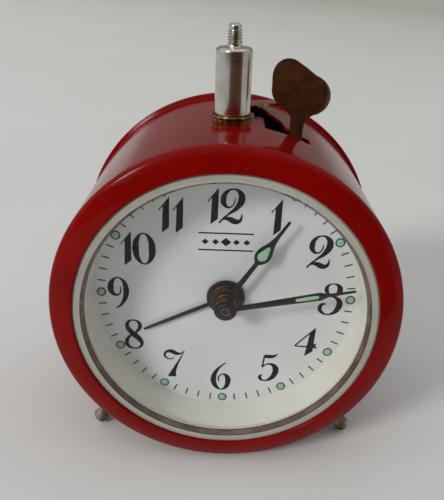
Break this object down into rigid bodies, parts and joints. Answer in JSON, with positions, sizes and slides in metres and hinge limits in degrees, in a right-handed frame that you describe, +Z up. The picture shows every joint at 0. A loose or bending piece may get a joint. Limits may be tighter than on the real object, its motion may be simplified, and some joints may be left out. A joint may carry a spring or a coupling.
{
  "type": "wind-up alarm clock",
  "caption": "Round enamelled wind-up alarm clock standing on two splayed feet, with luminous hands, a bell post with a threaded stud on top and a hammer beside it.",
  "frame": {"origin": "on the surface the clock stands on, under the middle of its bounding box", "axes": "+Z up, -Y the way the dial faces, +X to the right as seen from the front; the hands turn about +Y"},
  "size_m": [0.0986, 0.076, 0.1228],
  "materials": {
    "red_enamel": "gloss red enamel",
    "clear_acrylic": "clear, polished",
    "cream_plastic": "semi-gloss cream",
    "white_dial": "matt white lacquer",
    "black_lacquer": "satin black",
    "brass": "satin",
    "aged_brass": "dark patina",
    "nickel_steel": "nickel plated",
    "steel": "bright",
    "spring_steel": "blued"
  },
  "bodies": {
    "case": {"case_shell": "red_enamel", "crystal": "clear_acrylic", "reflector_ring": "cream_plastic", "dial": "white_dial", "dial_feet": "brass", "back_cover": "red_enamel", "cover_screws": "nickel_steel", "back_posts": "steel", "feet": "nickel_steel", "foot_nuts": "steel", "bell_post": "nickel_steel", "post_collar": "brass", "post_nut": "steel", "front_plate": "brass", "back_plate": "brass", "pillars": "steel", "pillar_nuts": "steel", "minute_wheel_stud": "steel", "time_mainspring": "spring_steel", "alarm_mainspring": "spring_steel", "hairspring": "spring_steel", "balance_screws": "brass", "stop_lever_rivet": "steel"},
    "minute_hand_set": {"centre_arbor": "brass", "cannon_pinion": "brass", "minute_hand": "black_lacquer", "time_set_knob": "nickel_steel"},
    "minute_wheel_set": {"minute_wheel": "brass"},
    "hour_hand_set": {"hour_wheel": "brass", "hour_hand": "black_lacquer"},
    "alarm_hand_set": {"alarm_wheel": "brass", "alarm_hand": "black_lacquer"},
    "alarm_set_set": {"alarm_set_arbor": "steel", "alarm_set_knob": "nickel_steel"},
    "time_great_set": {"time_great_wheel": "brass"},
    "time_click_set": {"time_click": "steel"},
    "time_key_set": {"time_winding_arbor": "steel", "time_key": "nickel_steel"},
    "alarm_great_set": {"alarm_great_wheel": "brass"},
    "alarm_click_set": {"alarm_click": "steel"},
    "alarm_key_set": {"alarm_winding_arbor": "steel", "alarm_key": "nickel_steel"},
    "centre_wheel_set": {"centre_pinion": "steel", "centre_wheel": "brass"},
    "third_wheel_set": {"third_pinion": "steel", "third_wheel": "brass"},
    "fourth_wheel_set": {"fourth_pinion": "steel", "fourth_wheel": "brass"},
    "escape_wheel_set": {"escape_pinion": "steel", "escape_wheel": "brass"},
    "pallet_set": {"pallet_lever": "brass", "pallet_arbor": "steel"},
    "balance_set": {"balance_wheel": "brass", "balance_staff": "steel"},
    "regulator_set": {"regulator_lever": "steel"},
    "alarm_escape_set": {"alarm_escape_wheel": "brass"},
    "hammer_set": {"hammer": "aged_brass", "hammer_weight": "nickel_steel", "hammer_arbor": "steel"},
    "stop_lever_set": {"stop_lever": "aged_brass"}
  },
  "joints": [
    {"name": "hands_set", "type": "hinge", "parent": "case", "child": "minute_hand_set", "pos_m": [0, -0.02335, 0.0493], "axis": [0, 1, 0], "continuous": true},
    {"name": "minute_wheel_turn", "type": "hinge", "parent": "case", "child": "minute_wheel_set", "pos_m": [-0.0085, -0.02035, 0.0578], "axis": [0, 1, 0], "continuous": true},
    {"name": "hour_hand_turn", "type": "hinge", "parent": "case", "child": "hour_hand_set", "pos_m": [0, -0.02085, 0.0493], "axis": [0, 1, 0], "continuous": true},
    {"name": "alarm_hand_turn", "type": "hinge", "parent": "case", "child": "alarm_hand_set", "pos_m": [0, -0.02185, 0.0493], "axis": [0, 1, 0], "continuous": true},
    {"name": "alarm_set_turn", "type": "hinge", "parent": "case", "child": "alarm_set_set", "pos_m": [0, -0.02185, 0.0333], "axis": [0, 1, 0], "continuous": true},
    {"name": "fourth_wheel_turn", "type": "hinge", "parent": "case", "child": "fourth_wheel_set", "pos_m": [0.0056, -0.00165, 0.0663], "axis": [0, 1, 0], "continuous": true},
    {"name": "third_wheel_turn", "type": "hinge", "parent": "case", "child": "third_wheel_set", "pos_m": [-0.0075, 0.00245, 0.0626], "axis": [0, 1, 0], "continuous": true},
    {"name": "centre_wheel_turn", "type": "hinge", "parent": "case", "child": "centre_wheel_set", "pos_m": [0, 0.00045, 0.0493], "axis": [0, 1, 0], "continuous": true},
    {"name": "time_great_wheel_turn", "type": "hinge", "parent": "case", "child": "time_great_set", "pos_m": [-0.0205, -0.01365, 0.0403], "axis": [0, 1, 0], "continuous": true},
    {"name": "escape_wheel_turn", "type": "hinge", "parent": "case", "child": "escape_wheel_set", "pos_m": [0.0035, 0.00105, 0.0781], "axis": [0, 1, 0], "continuous": true},
    {"name": "time_winding", "type": "hinge", "parent": "time_great_set", "child": "time_key_set", "pos_m": [-0.0205, -0.01235, 0.0403], "axis": [0, 1, 0], "continuous": true},
    {"name": "time_click_lift", "type": "hinge", "parent": "time_great_set", "child": "time_click_set", "pos_m": [-0.0205, -0.01235, 0.0489], "axis": [0, 1, 0], "range_deg": [-14, 0], "stiffness_Nm_per_rad": 0.002},
    {"name": "alarm_great_wheel_turn", "type": "hinge", "parent": "case", "child": "alarm_great_set", "pos_m": [0.0205, 0.00565, 0.0403], "axis": [0, 1, 0], "continuous": true},
    {"name": "alarm_escape_wheel_turn", "type": "hinge", "parent": "case", "child": "alarm_escape_set", "pos_m": [0.022, -0.00885, 0.0596], "axis": [0, 1, 0], "continuous": true},
    {"name": "alarm_winding", "type": "hinge", "parent": "alarm_great_set", "child": "alarm_key_set", "pos_m": [0.0205, 0.00435, 0.0403], "axis": [0, 1, 0], "continuous": true},
    {"name": "alarm_click_lift", "type": "hinge", "parent": "alarm_great_set", "child": "alarm_click_set", "pos_m": [0.0205, 0.00435, 0.0489], "axis": [0, 1, 0], "range_deg": [-14, 0], "stiffness_Nm_per_rad": 0.002},
    {"name": "pallet_swing", "type": "hinge", "parent": "case", "child": "pallet_set", "pos_m": [-0.0053, -0.00035, 0.0762], "axis": [0, 1, 0], "range_deg": [-5, 5]},
    {"name": "balance_swing", "type": "hinge", "parent": "case", "child": "balance_set", "pos_m": [-0.02, 0.00365, 0.0743], "axis": [0, 1, 0], "range_deg": [-140, 140], "stiffness_Nm_per_rad": 0.000001},
    {"name": "regulator_turn", "type": "hinge", "parent": "case", "child": "regulator_set", "pos_m": [-0.02, 0.00965, 0.0743], "axis": [0, 1, 0], "range_deg": [-18, 18]},
    {"name": "hammer_swing", "type": "hinge", "parent": "case", "child": "hammer_set", "pos_m": [0.018, -0.01135, 0.0733], "axis": [0, 1, 0], "range_deg": [-8, 4]},
    {"name": "stop_lever_rock", "type": "hinge", "parent": "case", "child": "stop_lever_set", "pos_m": [0, 0.00995, 0.0833], "axis": [0, 1, 0], "range_deg": [0, 6]}
  ],
  "couplings": [
    {"joint": "hour_hand_turn", "follows": "hands_set", "ratio": 0.083333},
    {"joint": "minute_wheel_turn", "follows": "hands_set", "ratio": -0.33333},
    {"joint": "alarm_set_turn", "follows": "alarm_hand_turn", "ratio": -3},
    {"joint": "third_wheel_turn", "follows": "fourth_wheel_turn", "ratio": -0.13333},
    {"joint": "centre_wheel_turn", "follows": "fourth_wheel_turn", "ratio": 0.016667},
    {"joint": "time_great_wheel_turn", "follows": "fourth_wheel_turn", "ratio": -0.0027778},
    {"joint": "escape_wheel_turn", "follows": "fourth_wheel_turn", "ratio": -8},
    {"joint": "alarm_escape_wheel_turn", "follows": "alarm_great_wheel_turn", "ratio": -7.5}
  ]
}
